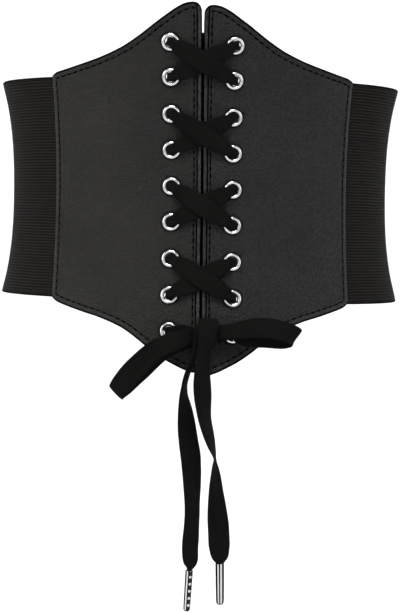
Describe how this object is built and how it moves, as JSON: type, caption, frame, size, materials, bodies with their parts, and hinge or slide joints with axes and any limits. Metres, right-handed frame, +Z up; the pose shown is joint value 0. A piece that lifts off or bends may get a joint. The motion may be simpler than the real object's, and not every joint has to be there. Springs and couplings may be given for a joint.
{
  "type": "corset belt",
  "caption": "Wide lace-up corset belt with pointed leather-look front panels, ribbed elastic round the back and a bow with hanging tipped lace ends.",
  "frame": {"origin": "middle of the waist opening, at the belt's narrowest height", "axes": "+Z up along the wearer's waist, -Y out of the laced front, +X towards the picture's right"},
  "size_m": [0.2497, 0.203, 0.3524],
  "materials": {
    "panel_leather": "fine grained, semi-matt black",
    "ribbed_elastic": "matt black, fine ribs along its length",
    "lace_fabric": "matt black tubular weave",
    "nickel": "bright nickel plate"
  },
  "bodies": {
    "root": {"panel_left": "panel_leather", "panel_right": "panel_leather", "elastic_band": "ribbed_elastic", "eyelet_left_1": "nickel", "eyelet_left_2": "nickel", "eyelet_left_3": "nickel", "eyelet_left_4": "nickel", "eyelet_left_5": "nickel", "eyelet_left_6": "nickel", "eyelet_left_7": "nickel", "eyelet_left_8": "nickel", "eyelet_left_9": "nickel", "eyelet_right_1": "nickel", "eyelet_right_2": "nickel", "eyelet_right_3": "nickel", "eyelet_right_4": "nickel", "eyelet_right_5": "nickel", "eyelet_right_6": "nickel", "eyelet_right_7": "nickel", "eyelet_right_8": "nickel", "eyelet_right_9": "nickel", "lace_crossed": "lace_fabric", "knot": "lace_fabric", "bow_loop_left": "lace_fabric", "bow_loop_right": "lace_fabric", "tail_left": "lace_fabric", "tail_right": "lace_fabric", "aglet_left": "nickel", "aglet_right": "nickel"}
  },
  "joints": []
}
